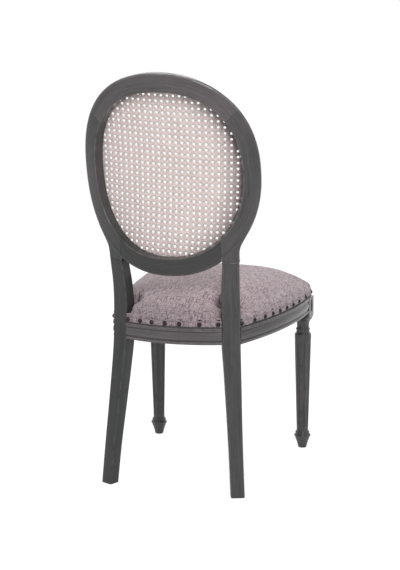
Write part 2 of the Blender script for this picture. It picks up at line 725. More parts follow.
class Rule(Recipe):
    """A geometry tree with named inputs. done() ends it in Realize Instances and Set Material."""

    def __init__(self, name, **inputs):
        tree = bpy.data.node_groups.new(name, "GeometryNodeTree")
        super().__init__(tree)
        tree.interface.new_socket("Geometry", in_out="OUTPUT", socket_type="NodeSocketGeometry")
        tree.interface.new_socket("Geometry", in_out="INPUT", socket_type="NodeSocketGeometry")
        for key, kind in {**inputs, "Finish": None}.items():
            tree.interface.new_socket(key, in_out="INPUT",
                                      socket_type=SOCKETS.get(kind, "NodeSocketMaterial"))
        entry = tree.nodes.new("NodeGroupInput")
        self.given = {s.name: Wire(self, s) for s in entry.outputs if s.name}

    def done(self, geometry):
        real = self.add("GeometryNodeRealizeInstances", sockets={0: geometry})
        dressed = self.add("GeometryNodeSetMaterial", sockets={
            0: real, "Material": self.given["Finish"]})
        self.tree.links.new(dressed.socket, self.tree.nodes.new("NodeGroupOutput").inputs[0])

    def place(self):
        return self.add("GeometryNodeInputPosition")

    def moved(self, geometry, position):
        return self.add("GeometryNodeSetPosition", sockets={"Geometry": geometry, "Position": position})

    def net(self, columns, rows):
        """A flat net of 1 by 1, the angle of each point when it is wrapped, and its height."""
        grid = self.add("GeometryNodeMeshGrid", sockets={
            "Size X": 1.0, "Size Y": 1.0, "Vertices X": columns, "Vertices Y": rows})
        x, y, _ = self.parts(self.place())
        return grid, (x + 0.5) * (2 * math.pi), y

    def wrapped(self, net, radius, angle, height):
        """The net led round an axis and closed along the seam."""
        tube = self.moved(net, self.vector(radius * angle.cosine(), radius * angle.sine(), height))
        return self.add("GeometryNodeMergeByDistance", sockets={0: tube, "Distance": 0.00001})

    def read(self, name, kind="FLOAT"):
        return self.add("GeometryNodeInputNamedAttribute", {"data_type": kind}, {"Name": name})

    def store(self, geometry, name, value):
        return self.add("GeometryNodeStoreNamedAttribute", {"data_type": "FLOAT", "domain": "POINT"}, {
            "Geometry": geometry, "Name": name, "Value": value})

    def put(self, points, instance, **sockets):
        return self.add("GeometryNodeInstanceOnPoints", sockets={
            "Points": points, "Instance": instance, **sockets})

print("a rule can", *[name for name in vars(Rule) if name[0] != "_"])

# %% Settle and grow
def settle(piece):
    """Modifiers made part of the mesh."""
    seen = piece.evaluated_get(bpy.context.evaluated_depsgraph_get())
    mesh = bpy.data.meshes.new_from_object(seen)
    mesh.name = piece.name
    piece.modifiers.clear()
    piece.data = mesh
    return piece


def grow(name, rule, seed_mesh=None, **values):
    """Runs a rule on a mesh, or on nothing, and keeps what comes out."""
    piece = keep(name, seed_mesh or bpy.data.meshes.new(name + "_start"), None)
    modifier = piece.modifiers.new("rule", "NODES")
    modifier.node_group = rule.tree
    names = {item.name: item.identifier for item in rule.tree.interface.items_tree
             if item.in_out == "INPUT"}
    for key, value in values.items():
        modifier[names[key]] = value
    settle(piece)
    if volume(piece.data) < 0:
        piece.data.flip_normals()
    print(name, len(piece.data.vertices), "points", len(piece.data.polygons), "faces")
    return piece


def outline_object(name, points, closed=False):
    """A line through points (x, y in metres), for a rule to follow."""
    curve = bpy.data.curves.new(name, "CURVE")
    curve.dimensions = "3D"
    spline = curve.splines.new("POLY")
    spline.points.add(len(points) - 1)
    for place, point in zip(spline.points, points):
        place.co = (*point, 0, 1)
    spline.use_cyclic_u = closed
    return bpy.data.objects.new(name, curve)

print("a rule's inputs may be", *[kind.__name__ for kind in SOCKETS])

# %% [markdown]
# ## Front legs
# On the lathe a leg is one outline turned round an axis. The flutes are then cut with a round
# gouge that tilts with the taper of the shaft. The rule does the same: a net whose rows are
# the outline's points is wrapped round the axis, and each point is pushed in wherever the
# gouge, a slanting cylinder with round ends, reaches deeper than the surface. The number of
# flutes, their length and the gouge's radius are the rule's inputs.

# %% The turned outline
SHAFT_LOW, SHAFT_HIGH, ANKLE_R, SHAFT_R = 50.0, 304.0, 15.5, 22.0
FLUTE_LOW, FLUTE_HIGH, GOUGE_R, GOUGE_OUT = SHAFT_LOW + 12, SHAFT_LOW + 234, 4.6, 2.2
turned = ([(0, 0), (9.8, 0), (10.5, 0.3), (11.3, 1.2)]
          + [(11.5 + 8 * (z / 27) ** 1.4, z) for z in np.arange(4, 27, 3.0)]
          + [(19.3, 27.6), (19.5, 28.2), (19.4, 29.6)] + arc((18.6, 33.6), 3.6, -78, 78, 12)
          + [(18.4, 38.2)] + arc((16.2, 42), 3, -55, 75, 8) + [(16.2, 46.2), (15.8, 47.6)]
          + [(mix(ANKLE_R, SHAFT_R, k), mix(SHAFT_LOW, SHAFT_HIGH, k)) for k in
             [0, 0.012, 0.024, 0.034, 0.042, 0.05, 0.058, 0.068, 0.08, 0.1,
              *np.arange(0.14, 0.89, 0.05),
              0.9, 0.915, 0.93, 0.94, 0.95, 0.958, 0.966, 0.974, 0.985, 1.0]]
          + arc((SHAFT_R - 5, SHAFT_HIGH + 5), 5, 2, 72, 9)
          + [(18.2, 315.6), (17.6, 317), (17.4, 318.6), (17.5, 320.2)]
          + arc((15.9, 324), 3, -58, 70, 9) + [(17.0, 327.4), (16.8, 328.4)]
          + [(16.2 + 3 * (1 - math.cos(math.radians(a))), 332 + 14 * math.sin(math.radians(a)))
             for a in range(-10, 91, 10)] + [(19.2, 349), (10, 350), (0, 350)])
print("outline of", len(turned), "points,", turned[-1][1], "mm high")

# %% Turning and fluting
turning = Rule("turned_and_fluted_leg", **{
    "Outline": bpy.types.Object, "Rows": int, "Sides": int, "Flutes": float, "Flute low": float,
    "Flute high": float, "Gouge radius": float, "Gouge axis": float, "Taper": float})
g = turning.given
net, round_angle, row = turning.net(g["Sides"] + 1, g["Rows"])
row = (row + 0.5) * (g["Rows"] - 1)
points_of = turning.add("GeometryNodeCurveToMesh", sockets={0: turning.add(
    "GeometryNodeObjectInfo", sockets={0: g["Outline"]}, out="Geometry")})
sample = turning.add("GeometryNodeSampleIndex", {"data_type": "FLOAT_VECTOR", "domain": "POINT"}, {
    "Geometry": points_of, "Value": turning.place(), "Index": row.sum("ROUND")})
radius, height, _ = turning.parts(sample)
sector = 2 * math.pi / g["Flutes"]
off = round_angle.sum("MODULO", sector) - sector / 2
over = (g["Flute low"] - height).most(height - g["Flute high"]).most(0.0)
reach = (g["Gouge radius"] * g["Gouge radius"] - over * over).most(0.0).root()
axis = g["Gouge axis"] + g["Taper"] * height
miss = (axis * off.sine()).size()
cut = axis * off.cosine() - (reach * reach - miss * miss).most(0.0).root()
inside = reach.sum("GREATER_THAN", miss + 0.00001)
radius = radius - inside * (radius - cut).most(0.0)
turning.done(turning.wrapped(net, radius, round_angle, height))
taper = (SHAFT_R - ANKLE_R) / (SHAFT_HIGH - SHAFT_LOW)
shaft = grow("shaft", turning, Outline=outline_object("leg_outline", np.array(turned) * MM),
             Rows=len(turned), Sides=192, Flutes=8.0, **{
                 "Flute low": FLUTE_LOW * MM, "Flute high": FLUTE_HIGH * MM,
                 "Gouge radius": GOUGE_R * MM,
                 "Gouge axis": (ANKLE_R + GOUGE_OUT - taper * SHAFT_LOW) * MM,
                 "Taper": taper, "Finish": frame_wood})
print("shaft, litres", volume(shaft.data))

# %% [markdown]
# Above the shaft the leg stays square, so that the rails have a flat face to join. The lathe
# tool rounds the square's lower corners to a cone. On the two outer faces an oblong panel is
# sunk with a router. The block is a skin of rings, each the nearer of square and cone, and
# the panels are cut out of it with a Boolean whose cutter flares at the rim.

# %% The block
FRONT_Y, FRONT_X, HALF, BLOCK_LOW = -200.0, 207.5, 23.0, 345
SOFT, CONE_R = 1.8, 16.6
PANEL_Z, PANEL_REACH, PANEL_R = 388, 8.5, 8.5


def block_ring(z, top=False, inset=0.0):
    """Rounded square at height z, or at z over the frame's lower edge for the raked top."""
    corners = [np.array(arc((cx * (HALF - SOFT), cy * (HALF - SOFT)), SOFT - inset, a, a + 90, 5))
               for cx, cy, a in ((1, -1, -90), (1, 1, 0), (-1, 1, 90), (-1, -1, 180))]
    ring = []
    for here, after in zip(corners, corners[1:] + corners[:1]):
        ring += [*here, *(mix(here[5], after[0], k) for k in np.linspace(0, 1, 14)[1:-1])]
    ring = np.array(ring)
    if not top:
        ring *= np.minimum(1, (CONE_R + z - BLOCK_LOW) / np.linalg.norm(ring, axis=1))[:, None]
    x, y = ring[:, 0] + FRONT_X, ring[:, 1] + FRONT_Y
    level = FRAME_Z + z / math.cos(RAKE) - y * math.tan(RAKE) if top else np.full(len(x), z)
    return np.stack([x, y, level], 1)


rings = [block_ring(z) for z in
         [BLOCK_LOW, 347, 349, 351, 352.5, 354, 356, 358, 360, 362, 366, 385, 406]]
rings += [block_ring(39.3, True), block_ring(40.1, True, 0.4), block_ring(40.5, True, 1.2)]
for level in (40.5, 57.5):
    head_ring = block_ring(level, True)
    head_ring[:, 0] = np.minimum(head_ring[:, 0], FRONT_X + HALF - 5)
    head_ring[:, 1] = np.maximum(head_ring[:, 1], FRONT_Y - HALF + 5)
    rings.append(head_ring)
leg_block = skin("leg_block", rings, frame_wood, edge=np.tile([1] * 6 + [0.1] * 12, 4))

print("block, litres", volume(leg_block.data))

# %% Sunk panels
def panel_cutter(turn):
    """Oblong with round ends, 34 by 17 mm, 2.5 mm deep; the rim flares out."""
    rings = []
    for depth, grow_by in ((-2.5, -1.1), (-1.6, -0.4), (-0.6, 0), (-0.15, 0.3), (1.5, 1.9)):
        r = PANEL_R + grow_by
        loop = arc((PANEL_REACH, 0), r, -90, 90, 16) + arc((-PANEL_REACH, 0), r, 90, 270, 16)
        rings.append([(HALF + depth, y, PANEL_Z + z) for z, y in loop])
    rings = np.array(rings)
    c, s = math.cos(math.radians(turn)), math.sin(math.radians(turn))
    x, y = rings[..., 0].copy(), rings[..., 1].copy()
    rings[..., 0], rings[..., 1] = x * c - y * s + FRONT_X, x * s + y * c + FRONT_Y
    return skin("cutter", rings, frame_wood)


def carve(piece, cutter, solver="EXACT"):
    """Takes the cutter out of the piece. The simulated cushion needs the MANIFOLD solver."""
    cut = piece.modifiers.new("cut", "BOOLEAN")
    cut.operation, cut.object, cut.solver = "DIFFERENCE", cutter, solver
    settle(piece)
    bpy.data.objects.remove(cutter)


for turn in (0, -90):
    carve(leg_block, panel_cutter(turn))
print("block with its panels, litres", volume(leg_block.data))

# %% Both front legs
def grain_map(piece, lengthwise, around):
    """Lays the grain map over a piece from two rules of its points, in metres."""
    mesh = piece.data
    co = points_of_mesh(mesh)
    layer = mesh.uv_layers.get("grain") or mesh.uv_layers.new(name="grain")
    uv = np.stack([lengthwise(co), around(co)], 1)[corners_of(mesh)]
    layer.data.foreach_set("uv", uv.ravel())


shaft.data.transform(Matrix.Translation(Vector(in_frame((FRONT_X, FRONT_Y, 0)))))
leg_x, leg_y = in_frame((FRONT_X, FRONT_Y, 0))[:2]
grain_map(shaft, lambda c: c[:, 2],
          lambda c: 0.016 * np.abs(np.arctan2(c[:, 1] - leg_y, c[:, 0] - leg_x)))
grain_map(leg_block, lambda c: c[:, 2], lambda c: c[:, 0] + c[:, 1])
shaft_points = points_of_mesh(shaft.data)
reach_out = np.hypot(*(shaft_points[:, :2] - [leg_x, leg_y]).T)
full = np.interp(shaft_points[:, 2], [p[1] * MM for p in turned], [p[0] * MM for p in turned])
mark(shaft.data, "wear", np.clip(1 - (full - reach_out) / 0.0008, 0, 1) * 0.35)
shade(shaft.data, 50)
shade(leg_block.data, 35)
left_front = joined("left_front_leg_turned", [shaft, leg_block])
right_front = mirrored("right_front_leg_turned", left_front)
print("front leg, litres", volume(left_front.data))

# %% [markdown]
# ## Seat rails
# The four rails share one moulding: a bead at the foot, a hollow, two small steps and a flat
# under the cloth, with a rebate above for the nails. The spindle moulder runs it along a
# curved board. The rule sweeps the moulding along an arc in the same way. The sweep is a
# little too long, and a cut through the leg's face trims each end to the joint.

# %% The rails' moulding and its sweep
RAIL_T, RAIL_H, RAIL_TOP = 26.0, 40.5, 57.5
moulding_line = ([(0.6, 0), (RAIL_T - 3, 0), (RAIL_T - 1.8, 0.4), (RAIL_T - 1.2, 1.2)]
                 + arc((RAIL_T - 2.6, 4.8), 2.6, -55, 82, 10)
                 + [(RAIL_T - 2.5, 8.2), (RAIL_T - 2.6, 8.8), (RAIL_T - 2.6, 10.2),
                    (RAIL_T - 2.2, 10.6)]
                 + arc((RAIL_T - 24, 19.8), 24, -21, 21, 14)
                 + [(RAIL_T - 2.2, 29.2), (RAIL_T - 2.6, 29.6), (RAIL_T - 2.6, 31.3),
                    (RAIL_T - 1.0, 31.9), (RAIL_T - 0.6, 32.4),
                    (RAIL_T - 0.6, RAIL_H - 1.2), (RAIL_T - 0.8, RAIL_H - 0.5),
                    (RAIL_T - 1.6, RAIL_H), (RAIL_T - 5, RAIL_H), (RAIL_T - 5, RAIL_TOP), (0, RAIL_TOP),
                    (0, 0.6)])
RAIL_RUB = [(0, 0.1), (1.2, 0.4), (3, 0.8), (5, 1), (7, 0.6), (8, -0.6), (9.5, -1), (10.4, -0.3),
            (11.2, 0.5), (13, 0.1), (27, 0.1), (29, 0.5), (29.5, -0.5), (30.5, -1), (31.5, -0.2),
            (32.2, 0.7), (33.5, 0.1), (38.5, 0.1), (39.8, 0.8), (40.5, 0.2), (41, -0.8), (46, -0.3)]
sweep = Rule("moulded_rail", **{"Moulding": bpy.types.Object, "Centre X": float, "Centre Y": float,
                               "Radius": float, "Start": float, "Turn": float, "Steps": int})
g = sweep.given
bend = sweep.add("GeometryNodeCurveArc", {"mode": "RADIUS"}, {
    "Resolution": g["Steps"], "Radius": g["Radius"], "Start Angle": g["Start"],
    "Sweep Angle": g["Turn"]})
placed = sweep.add("GeometryNodeTransform", sockets={
    "Geometry": bend, "Translation": sweep.vector(g["Centre X"], g["Centre Y"])})
shape = sweep.add("GeometryNodeObjectInfo", sockets={0: g["Moulding"]}, out="Geometry")
sweep.done(sweep.add("GeometryNodeCurveToMesh", sockets={0: placed, 1: shape, "Fill Caps": True}))
rail_profile = outline_object("rail_outline",
                              [((x - RAIL_T) * MM, -y * MM) for x, y in moulding_line], closed=True)

print("moulding of", len(moulding_line), "points")

# %% Arcs of the plan, and trimming
def circle(a, b, sag):
    """Centre and radius of the circle through a and b that bulges by sag to the left."""
    a, b = np.array(a, float), np.array(b, float)
    half = np.linalg.norm(b - a) / 2
    r = (half * half + sag * sag) / (2 * sag)
    d = (b - a) / np.linalg.norm(b - a)
    return (a + b) / 2 - np.array([-d[1], d[0]]) * (r - sag), abs(r)


def trim(piece, point, outward):
    """Everything past a plane comes off, and the cut is closed."""
    made = bmesh.new()
    made.from_mesh(piece.data)
    bmesh.ops.bisect_plane(made, geom=made.verts[:] + made.edges[:] + made.faces[:], dist=1e-7,
                           plane_co=Vector(point), plane_no=Vector(outward), clear_outer=True)
    bmesh.ops.holes_fill(made, edges=[e for e in made.edges if e.is_boundary])
    bmesh.ops.recalc_face_normals(made, faces=made.faces)
    made.to_mesh(piece.data)
    made.free()


BLOCK_IN, BLOCK_OUT = FRONT_X - HALF, FRONT_X + HALF
BLOCK_REAR, BLOCK_FRONT = FRONT_Y + HALF, FRONT_Y - HALF
side_front, side_back = (BLOCK_OUT - 0.5, BLOCK_REAR), (162.5, 194.0)
side_c, side_r = circle(side_front, side_back, -20)
back_r = circle((-123, 0), (123, 0), 22)[1]
front_r = circle((-BLOCK_IN, 0), (BLOCK_IN, 0), 13)[1]
back_c, front_c = np.array([0, 232.5 - back_r]), np.array([0, BLOCK_FRONT - 13 + front_r])
leg_c, leg_w = flow(leg_line, RAIL_MID), flow(leg_width, RAIL_MID) / 2

print("radius of the side, back and front rails", [round(float(r)) for r in (side_r, back_r, front_r)])

# %% The four rails
def rail(name, centre, radius, start, turn, cuts):
    """Swept along its arc, mapped and marked while it lies flat, then raked and trimmed."""
    cx, cy = centre[0] * MM, centre[1] * MM
    piece = grow(name, sweep, Moulding=rail_profile, Radius=radius * MM, Steps=64,
                 Start=math.radians(start), Turn=math.radians(turn), Finish=frame_wood,
                 **{"Centre X": cx, "Centre Y": cy})
    grain_map(piece, lambda c: radius * MM * np.arctan2(c[:, 1] - cy, c[:, 0] - cx),
              lambda c: c[:, 2] + np.hypot(c[:, 0] - cx, c[:, 1] - cy))
    x, y, z = points_of_mesh(piece.data).T
    out_by = RAIL_T + (np.hypot(x - cx, y - cy) - radius * MM) / MM
    mark(piece.data, "wear", np.interp(z / MM, *zip(*RAIL_RUB)) * (out_by > RAIL_T - 3.4))
    piece.data.transform(Matrix.Translation((0, -MID_Y * MM, FRAME_Z * MM))
                         @ Matrix.Rotation(-RAKE, 4, "X"))
    for point, outward in cuts:
        trim(piece, in_frame(point), outward)
    shade(piece.data, 35)
    print(name, "litres", volume(piece.data))
    return piece


post_side = (*from_leg(1, 0), 0)
inner_side = from_leg(leg_c - leg_w, 0)
outer_side = from_leg(leg_c + leg_w, 0)
flip = lambda v: (-v[0], v[1], v[2])
back_rail = rail("back_rail_moulded", back_c, back_r, 64, 52, [
    ((*inner_side, 0), post_side), (flip((*inner_side, 0)), flip(post_side))])
side_rail = rail("left_rail_moulded", side_c, side_r, -6, 32, [
    ((*outer_side, 0), tuple(-v for v in post_side)), ((0, BLOCK_REAR, 0), (0, -1, 0))])
front_rail = rail("front_rail_moulded", front_c, front_r, 257, 26, [
    ((BLOCK_IN, 0, 0), (1, 0, 0)), ((-BLOCK_IN, 0, 0), (-1, 0, 0))])
right_rail = mirrored("right_rail_moulded", side_rail)

# %% [markdown]
# ## The woven cane
# Cane is woven in six steps: two strands up, two across, and one along each slant, which
# leaves eight-sided holes. A pair crosses a pair over and under, and the slanting strands
# pass over the upright pairs and under the level ones, or the other way about. The rule
# lays straight lines in the flat, lifts and sinks them by sums, cuts them off at the oval,
# gives them a thin rounded section, and bends the whole weave onto the leaning sheet. The
# woven sheet was pressed into this frame a few degrees askew and drawn a little wider than
# high, and `Askew` and `Stretch` do the same. Cane is stretched tight, so between the sides
# of the bent frame it pulls itself about half flat, like a saddle: `Pulled flat` says how
# far.

# %% Strands
CANE_V = WALL + 0.12 + 0.8
CANE_K = 1 - 5.5 / BAND_W
weave = Rule("woven_cane", **{
    "Pitch": float, "Half width": float, "Half height": float, "Squareness": float, "Pair": float,
    "Strand width": float, "Strand thickness": float, "Bow": float, "Depth": float,
    "Pulled flat": float, "Stretch": float, "Askew": float, "Lines": int})
g = weave.given


def strand_lines(turn, spacing, steps, shift, lift, salt, wash=0.0):
    """One set of parallel strands: a line on each point of a row, turned into its direction."""
    half = (g["Lines"] * g["Pitch"] / spacing * 0.5).sum("ROUND")
    row_of = weave.add("GeometryNodeMeshLine", sockets={
        "Count": half * 2.0,
        "Start Location": weave.vector((half - 0.5) * spacing * -1.0 + shift, 0.0),
        "Offset": weave.vector(spacing, 0.0)})
    count = (g["Lines"] * g["Pitch"] / steps).sum("ROUND")
    line = weave.add("GeometryNodeMeshLine", sockets={
        "Count": count * 2.0 + 1.0, "Start Location": weave.vector(0.0, count * steps * -1.0),
        "Offset": weave.vector(0.0, steps)})
    placed = weave.put(row_of, weave.add("GeometryNodeMeshToCurve", sockets={0: line}))
    real = weave.add("GeometryNodeRealizeInstances", sockets={0: placed})
    across, along, _ = weave.parts(weave.place())
    lifted = weave.moved(real, weave.vector(across, along, lift(across, along)))
    number = (across / spacing).sum("ROUND")
    chance = weave.add("FunctionNodeRandomValue", {"data_type": "FLOAT"}, {
        "ID": number, "Seed": salt}, out=1)
    named = weave.store(lifted, "strand", chance * 0.5 + wash)
    return weave.add("GeometryNodeTransform", sockets={
        "Geometry": named, "Rotation": (0, 0, math.radians(turn))})

print("the cane lies", round(CANE_V, 2), "mm deep in the band")

# %% Over and under
def crossing(phase):
    """Up at one strand of each pair that it crosses and down at the other."""
    def lift(across, along):
        place = (along / g["Pitch"] + phase) * (2 * math.pi)
        return (place.sine() * 2.2).sum("TANH") * place.cosine().most(0.0) * (
            g["Strand thickness"] * 1.5)
    return lift


def slant(hand):
    """Over every upright pair and under every level one, or the other way about."""
    def lift(across, along):
        place = along / (g["Pitch"] * math.sqrt(2)) - across / (g["Pitch"] * math.sqrt(2)) * hand
        return (place * (2 * math.pi)).cosine() * g["Strand thickness"] * (1.35 * hand)
    return lift


pitch, fine = g["Pitch"], g["Pitch"] / 6
families = [strand_lines(0, pitch, fine, pitch * 0.5 - g["Pair"], crossing(0.5), 1),
            strand_lines(0, pitch, fine, pitch * 0.5 + g["Pair"], crossing(0.0), 2),
            strand_lines(90, pitch, fine, pitch * 0.5 - g["Pair"], crossing(0.0), 3),
            strand_lines(90, pitch, fine, pitch * 0.5 + g["Pair"], crossing(0.5), 4)]
side_step = pitch / math.sqrt(2)
families += [strand_lines(45, side_step, side_step / 2, 0.0, slant(1), 5, 0.5),
             strand_lines(-45, side_step, side_step / 2, 0.0, slant(-1), 6, 0.2)]
print(len(families), "families of strands")

# %% Cut, given a body and bent
flat = weave.add("GeometryNodeJoinGeometry")
for family in families:
    weave.tree.links.new(family.socket, flat.socket.node.inputs[0])
flat = weave.add("GeometryNodeTransform", sockets={
    0: flat, "Rotation": weave.vector(0.0, 0.0, g["Askew"]),
    "Scale": weave.vector(g["Stretch"], 1.0, 1.0)})
s_at, t_at, _ = weave.parts(weave.place())
round_off = ((s_at / g["Half width"]).size() ** g["Squareness"]
             + (t_at / g["Half height"]).size() ** g["Squareness"])
cut_off = weave.add("GeometryNodeDeleteGeometry", {"domain": "POINT"}, {
    "Geometry": flat, "Selection": round_off.sum("GREATER_THAN", 1.0)})
bark = weave.add("GeometryNodeCurvePrimitiveCircle", sockets={"Resolution": 4, "Radius": 0.5})
bark = weave.add("GeometryNodeTransform", sockets={
    0: bark, "Scale": weave.vector(g["Strand width"], g["Strand thickness"], 1.0)})
near_rim = round_off.step(0.42, 1.0) * (s_at / g["Half width"] * -1.0).step(0.15, 0.9)
upper = (t_at / g["Half height"]).step(0.1, 0.9)
dusk = (near_rim + round_off.step(0.8, 1.0) * (0.12 + upper * 0.75)).clamped()
shaded = weave.store(cut_off, "shade", dusk)
flat_strands = weave.add("GeometryNodeCurveToMesh", sockets={0: shaded, 1: bark, "Fill Caps": True})
s_at, t_at, v_at = weave.parts(weave.place())
deep = g["Depth"] - v_at
radius = g["Bow"] - deep
share = s_at / g["Bow"]
height = (t_at / g["Half height"]).size() ** g["Squareness"]
rim = (1.0 - height).most(0.0) ** (1.0 / g["Squareness"]) * g["Half width"] / g["Bow"]
on_frame, on_rim = (1.0 - share * share).root(), (1.0 - rim * rim).root()
d_at = radius * (on_frame + (on_rim - on_frame) * g["Pulled flat"]) - g["Bow"]
bent = weave.vector(radius * share,
                    t_at * math.sin(LEAN) + d_at * math.cos(LEAN) + (BACK_Y - MID_Y) * MM,
                    t_at * math.cos(LEAN) - d_at * math.sin(LEAN) + OVAL_Z * MM)
weave.done(weave.moved(flat_strands, bent))
print("the weave takes", len(weave.tree.nodes), "nodes")

# %% The cane of the back
cane = grow("cane_weave", weave, **{
    "Pitch": 0.0135, "Stretch": 1.118, "Askew": math.radians(4.2),
    "Half width": (OVAL_A - BAND_SIDE * CANE_K) * MM,
    "Half height": (OVAL_B - BAND_TOP * CANE_K) * MM, "Squareness": POWER, "Pair": 0.0021,
    "Strand width": 0.0042, "Strand thickness": 0.0005, "Bow": BOW * MM, "Depth": CANE_V * MM,
    "Pulled flat": 0.48, "Lines": 34, "Finish": cane_finish})
cane.data.calc_loop_triangles()
print("cane triangles", len(cane.data.loop_triangles), "litres", volume(cane.data))

# %% [markdown]
# ## Spline
# The cane's edge is pressed into its groove with a glued reed, the spline. It is a round
# ended strip that runs once round the oval, so it is a skin whose last ring joins the first.

# %% Spline
k0, k1 = 1 - 7.3 / BAND_W, 1 - 11.2 / BAND_W
low, top = WALL - 5.6, WALL + 0.2
crown_of = [(mix(k0, k1, 0.5 - 0.5 * math.cos(a)), top + 1.2 * math.sin(a))
            for a in (math.radians(d) for d in range(0, 181, 20))]
k, v = np.array([(k0, low), *crown_of, (k1, low)]).T
spline = skin("cane_spline_reed", [on_sheet(*oval(-2.0 * i, k), v) for i in range(180)],
              cane_finish, closed=True, sharp=50)
print("spline, litres", volume(spline.data))

# %% [markdown]
# ## The stuffed seat
# Foam is glued on webbing and domed towards the middle, wadding softens it, and the linen
# is pulled down over it and nailed into the rebate. The start is a closed skin that follows
# the seat's outline. It is remeshed evenly and blown up a little as cloth, held still along
# the nailed hem. What the nails and the posts do to the cloth comes last, by moving
# points: the cloth is drawn in at each nail, puffs out between two, and tucks down round the
# rear posts.

# %% Outline of the seat and the start of the cushion
def round_at(inset):
    return 12 + max(-1, inset)


def corner_at(inset):
    return np.array([BLOCK_OUT, BLOCK_FRONT]) + np.array([-1, 1]) * (inset + round_at(inset))


def angle_of(point, centre):
    return math.degrees(math.atan2(point[1] - centre[1], point[0] - centre[0]))


side_a0, side_a1 = angle_of(side_front, side_c), angle_of(side_back, side_c)
back_a = math.degrees(math.acos(123 / back_r))
front_a = math.degrees(math.asin(BLOCK_IN / front_r))


def half_outline(inset, fine=3):
    """The seat's outline on one side, from the middle of the front to the middle of the back."""
    return np.array(arc(front_c, front_r - inset, -90, -90 + front_a, 4 * fine)
                    + arc(corner_at(inset), round_at(inset), -85, -5, 3 * fine)
                    + arc(side_c, side_r - inset, side_a0 + 1.5, side_a1 - 0.6, 8 * fine)
                    + arc(back_c, back_r - inset, back_a - 2.5, 90, 5 * fine))


def seat_outline(inset, fine=3):
    half = half_outline(inset, fine)
    return np.concatenate([half * [-1, 1], half[::-1][1:-1]])


HEM = RAIL_H + 0.7
seat_side = [(1.4, HEM), (1.4, 48), (1.3, 55.5), (0.5, 61), (0.4, 66.5), (1.8, 72.5), (4.8, 78.5),
             (9.8, 84.5), (17.5, 90.5), (28, 96.5)]
CROWN = RAIL_TOP + 81.5
SHOULDER, SHOULDER_Z = seat_side[-1]
CROWN_Y = -18
seat_top = [(0.93, 0.16), (0.86, 0.34), (0.76, 0.52), (0.66, 0.66), (0.53, 0.8), (0.4, 0.9),
            (0.26, 0.965), (0.12, 1)]


def cushion_rings(shrink):
    """Up the side of the seat and in over its top, shrink millimetres inside the linen."""
    rings = [[(x, y, z - shrink * max(0, min(1, (z - 62) / 36))) for x, y in seat_outline(i + shrink)]
             for i, z in seat_side]
    edge = seat_outline(SHOULDER + shrink)
    for k, q in seat_top:
        z = mix(SHOULDER_Z, CROWN, q) - shrink
        rings.append([(x * k, CROWN_Y + (y - CROWN_Y) * k, z) for x, y in edge])
    return [raked(ring) for ring in rings]


cushion = skin("seat_cushion", cushion_rings(1.5), linen)
print("cushion start, litres", volume(cushion.data))

# %% [markdown]
# Cloth needs small, even faces, so the skin is first cast again as even cells of 5 mm. Points
# near the hem are pinned, the pressure inside lifts the rest, and no point may move more
# than a few millimetres. While other pieces are being tried the blowing up is left out.

# %% Blowing up the cushion
def remeshed(piece, cell):
    even = piece.modifiers.new("even", "REMESH")
    even.mode, even.voxel_size = "VOXEL", cell
    return settle(piece)


def set_points(mesh, co):
    mesh.vertices.foreach_set("co", np.asarray(co).ravel())
    mesh.update()


def seat_level(co):
    """Height above the seat frame's lower edge, in millimetres."""
    y, z = co[:, 1] / MM + MID_Y, co[:, 2] / MM - FRAME_Z
    return z * math.cos(RAKE) + y * math.sin(RAKE)


def blow_up(piece, cap, pressure=4.0, frames=20):
    """Cloth with air inside, for some frames; no point ends further than cap from its start."""
    rest = points_of_mesh(piece.data)
    held = piece.vertex_groups.new(name="held")
    level = seat_level(rest)
    for i in np.nonzero(level < 60)[0]:
        held.add([int(i)], float(np.clip((60 - level[i]) / 6, 0, 1)), "REPLACE")
    cloth = piece.modifiers.new("cloth", "CLOTH")
    cloth.settings.use_pressure = True
    cloth.settings.uniform_pressure_force = pressure
    cloth.settings.effector_weights.gravity = 0
    cloth.settings.vertex_group_mass = "held"
    cloth.settings.tension_stiffness = cloth.settings.compression_stiffness = 12
    cloth.point_cache.frame_end = frames
    for f in range(1, frames + 1):
        bpy.context.scene.frame_set(f)
    settle(piece)
    piece.vertex_groups.clear()
    bpy.context.scene.frame_set(1)
    moved = points_of_mesh(piece.data) - rest
    far = np.linalg.norm(moved, axis=1)
    moved *= (np.minimum(far, cap) / np.maximum(far, 1e-9))[:, None]
    set_points(piece.data, rest + moved)
    print("blown up by", round(float(far.max() * 1000), 1), "mm at most")


remeshed(cushion, 0.005)
blow_up(cushion, 0.005)
finer = cushion.modifiers.new("finer", "SUBSURF")
finer.levels = finer.render_levels = 1
settle(cushion)
print("cushion", len(cushion.data.polygons), "faces")

# %% [markdown]
# ## Where the nails stand
# On the back the nails were set by eye, so their gaps differ. On the front and sides they
# are even. Each place is a point on the hem and the way that it faces. Both the nails and
# the dimples that they pull into the linen use the same list.

# %% Nail places
def on_arc(centre, radius, angle):
    a = math.radians(angle)
    return (*(np.array(centre) + radius * np.array([math.cos(a), math.sin(a)])), angle)


